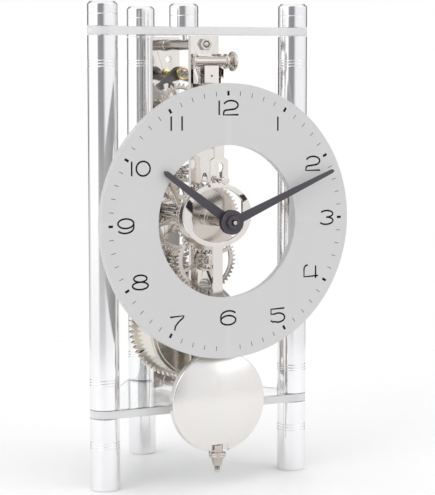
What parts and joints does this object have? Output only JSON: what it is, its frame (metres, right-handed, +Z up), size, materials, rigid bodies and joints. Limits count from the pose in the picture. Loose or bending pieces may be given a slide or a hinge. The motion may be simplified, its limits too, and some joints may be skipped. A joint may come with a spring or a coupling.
{
  "type": "skeleton clock",
  "caption": "Mantel skeleton clock: clear plates on round metal pillars, open ring dial, narrow spring-driven gear train and a lens bob on a swinging pendulum.",
  "frame": {"origin": "on the ground under the middle of the clock's box", "axes": "+Z up; the dial faces -Y; +X to the right as the dial is read"},
  "size_m": [0.1344, 0.1172, 0.24],
  "materials": {
    "clear_acrylic": "polished clear acrylic",
    "frosted_acrylic": "frosted translucent acrylic",
    "satin_aluminium": "fine turned satin",
    "polished_nickel": "polished nickel plate",
    "satin_nickel": "satin nickel plate",
    "brass": "polished brass",
    "bright_steel": "bright steel",
    "black_steel": "blackened steel",
    "gunmetal": "dark gunmetal, matt"
  },
  "bodies": {
    "frame": {"base_plate": "clear_acrylic", "top_plate": "clear_acrylic", "left_tube": "satin_aluminium", "right_tube": "satin_aluminium", "rear_tube": "satin_aluminium", "left_leg": "satin_aluminium", "right_leg": "satin_aluminium", "rear_leg": "satin_aluminium", "left_finial": "satin_aluminium", "right_finial": "satin_aluminium", "rear_finial": "satin_aluminium", "movement_finial": "satin_aluminium", "dial": "frosted_acrylic", "left_dial_stud": "satin_aluminium", "right_dial_stud": "satin_aluminium", "front_plate": "polished_nickel", "back_plate": "polished_nickel", "upper_spacer": "bright_steel", "lower_spacer": "bright_steel", "upper_front_nut": "bright_steel", "upper_rear_nut": "bright_steel", "lower_front_nut": "bright_steel", "lower_rear_nut": "bright_steel", "click_screw": "bright_steel", "click_spring": "bright_steel", "minute_wheel_post": "bright_steel", "suspension_bracket": "polished_nickel"},
    "barrel": {"barrel_drum": "satin_nickel", "barrel_cap": "satin_nickel", "mainspring": "bright_steel"},
    "winding_arbor": {"barrel_arbor": "bright_steel", "ratchet_wheel": "bright_steel"},
    "click": {"click": "bright_steel"},
    "second": {"second_arbor": "bright_steel", "second_wheel": "polished_nickel"},
    "centre": {"centre_arbor": "bright_steel", "centre_wheel": "polished_nickel", "cannon_pinion": "brass", "minute_hand": "gunmetal", "hand_nut": "gunmetal"},
    "minute_wheel": {"minute_wheel": "polished_nickel"},
    "hour": {"hour_wheel": "polished_nickel", "hour_hand": "gunmetal"},
    "third": {"third_arbor": "bright_steel", "third_wheel": "polished_nickel"},
    "fourth": {"fourth_arbor": "bright_steel", "fourth_wheel": "polished_nickel"},
    "escape": {"escape_arbor": "bright_steel", "escape_wheel": "polished_nickel"},
    "pallets": {"pallet_arbor": "bright_steel", "pallets": "black_steel", "crutch": "bright_steel"},
    "beat_screw": {"beat_screw": "polished_nickel"},
    "suspension": {"suspension_block": "polished_nickel", "suspension_spring": "bright_steel"},
    "pendulum": {"pendulum_hanger": "polished_nickel", "pendulum_frame": "polished_nickel", "pendulum_rod": "bright_steel"},
    "bob": {"bob": "satin_nickel"},
    "rating_nut": {"rating_nut": "polished_nickel"}
  },
  "joints": [
    {"name": "centre_turn", "type": "hinge", "parent": "frame", "child": "centre", "pos_m": [0, -0.00122, 0.1334], "axis": [0, 1, 0], "continuous": true},
    {"name": "barrel_turn", "type": "hinge", "parent": "frame", "child": "barrel", "pos_m": [0, -0.00122, 0.0762], "axis": [0, 1, 0], "continuous": true},
    {"name": "winding_turn", "type": "hinge", "parent": "frame", "child": "winding_arbor", "pos_m": [0, -0.00122, 0.0762], "axis": [0, 1, 0], "continuous": true},
    {"name": "second_turn", "type": "hinge", "parent": "frame", "child": "second", "pos_m": [0, -0.00122, 0.10766], "axis": [0, 1, 0], "continuous": true},
    {"name": "minute_wheel_turn", "type": "hinge", "parent": "frame", "child": "minute_wheel", "pos_m": [0, -0.00122, 0.1124], "axis": [0, 1, 0], "continuous": true},
    {"name": "hour_turn", "type": "hinge", "parent": "frame", "child": "hour", "pos_m": [0, -0.00122, 0.1334], "axis": [0, 1, 0], "continuous": true},
    {"name": "third_turn", "type": "hinge", "parent": "frame", "child": "third", "pos_m": [0, -0.00122, 0.15486], "axis": [0, 1, 0], "continuous": true},
    {"name": "fourth_turn", "type": "hinge", "parent": "frame", "child": "fourth", "pos_m": [0, -0.00122, 0.17317], "axis": [0, 1, 0], "continuous": true},
    {"name": "escape_turn", "type": "hinge", "parent": "frame", "child": "escape", "pos_m": [0, -0.00122, 0.188], "axis": [0, 1, 0], "continuous": true},
    {"name": "click_lift", "type": "hinge", "parent": "frame", "child": "click", "pos_m": [0.005, 0.02278, 0.0892], "axis": [0, 1, 0], "range_deg": [0, 12], "stiffness_Nm_per_rad": 0.01, "springref_deg": -17.19, "deforming": ["click_spring"]},
    {"name": "pallets_rock", "type": "hinge", "parent": "frame", "child": "pallets", "pos_m": [0, -0.00122, 0.205], "axis": [0, 1, 0], "range_deg": [-5, 5]},
    {"name": "beat_turn", "type": "hinge", "parent": "frame", "child": "beat_screw", "pos_m": [0, -0.03072, 0.211], "axis": [1, 0, 0], "range_deg": [-360, 360]},
    {"name": "beat_shift", "type": "slide", "parent": "frame", "child": "suspension", "axis": [1, 0, 0], "range_m": [-0.0005, 0.0005]},
    {"name": "pendulum_swing", "type": "hinge", "parent": "suspension", "child": "pendulum", "pos_m": [0, -0.03072, 0.205], "axis": [0, 1, 0], "range_deg": [-4, 4]},
    {"name": "bob_height", "type": "slide", "parent": "pendulum", "child": "bob", "axis": [0, 0, 1], "range_m": [-0.0015, 0.0015]},
    {"name": "rating_turn", "type": "hinge", "parent": "bob", "child": "rating_nut", "pos_m": [0, -0.03873, 0.016], "axis": [0, 0, 1], "range_deg": [-1080, 1080]}
  ],
  "couplings": [
    {"joint": "second_turn", "follows": "centre_turn", "ratio": -0.16667},
    {"joint": "barrel_turn", "follows": "centre_turn", "ratio": 0.027778},
    {"joint": "minute_wheel_turn", "follows": "centre_turn", "ratio": -0.33333},
    {"joint": "hour_turn", "follows": "centre_turn", "ratio": 0.083333},
    {"joint": "third_turn", "follows": "centre_turn", "ratio": -7.5},
    {"joint": "fourth_turn", "follows": "centre_turn", "ratio": 36},
    {"joint": "escape_turn", "follows": "centre_turn", "ratio": -152},
    {"joint": "pallets_rock", "follows": "pendulum_swing", "ratio": 1},
    {"joint": "beat_turn", "follows": "beat_shift", "rad_per_m": 12566},
    {"joint": "rating_turn", "follows": "bob_height", "rad_per_m": 12566}
  ]
}
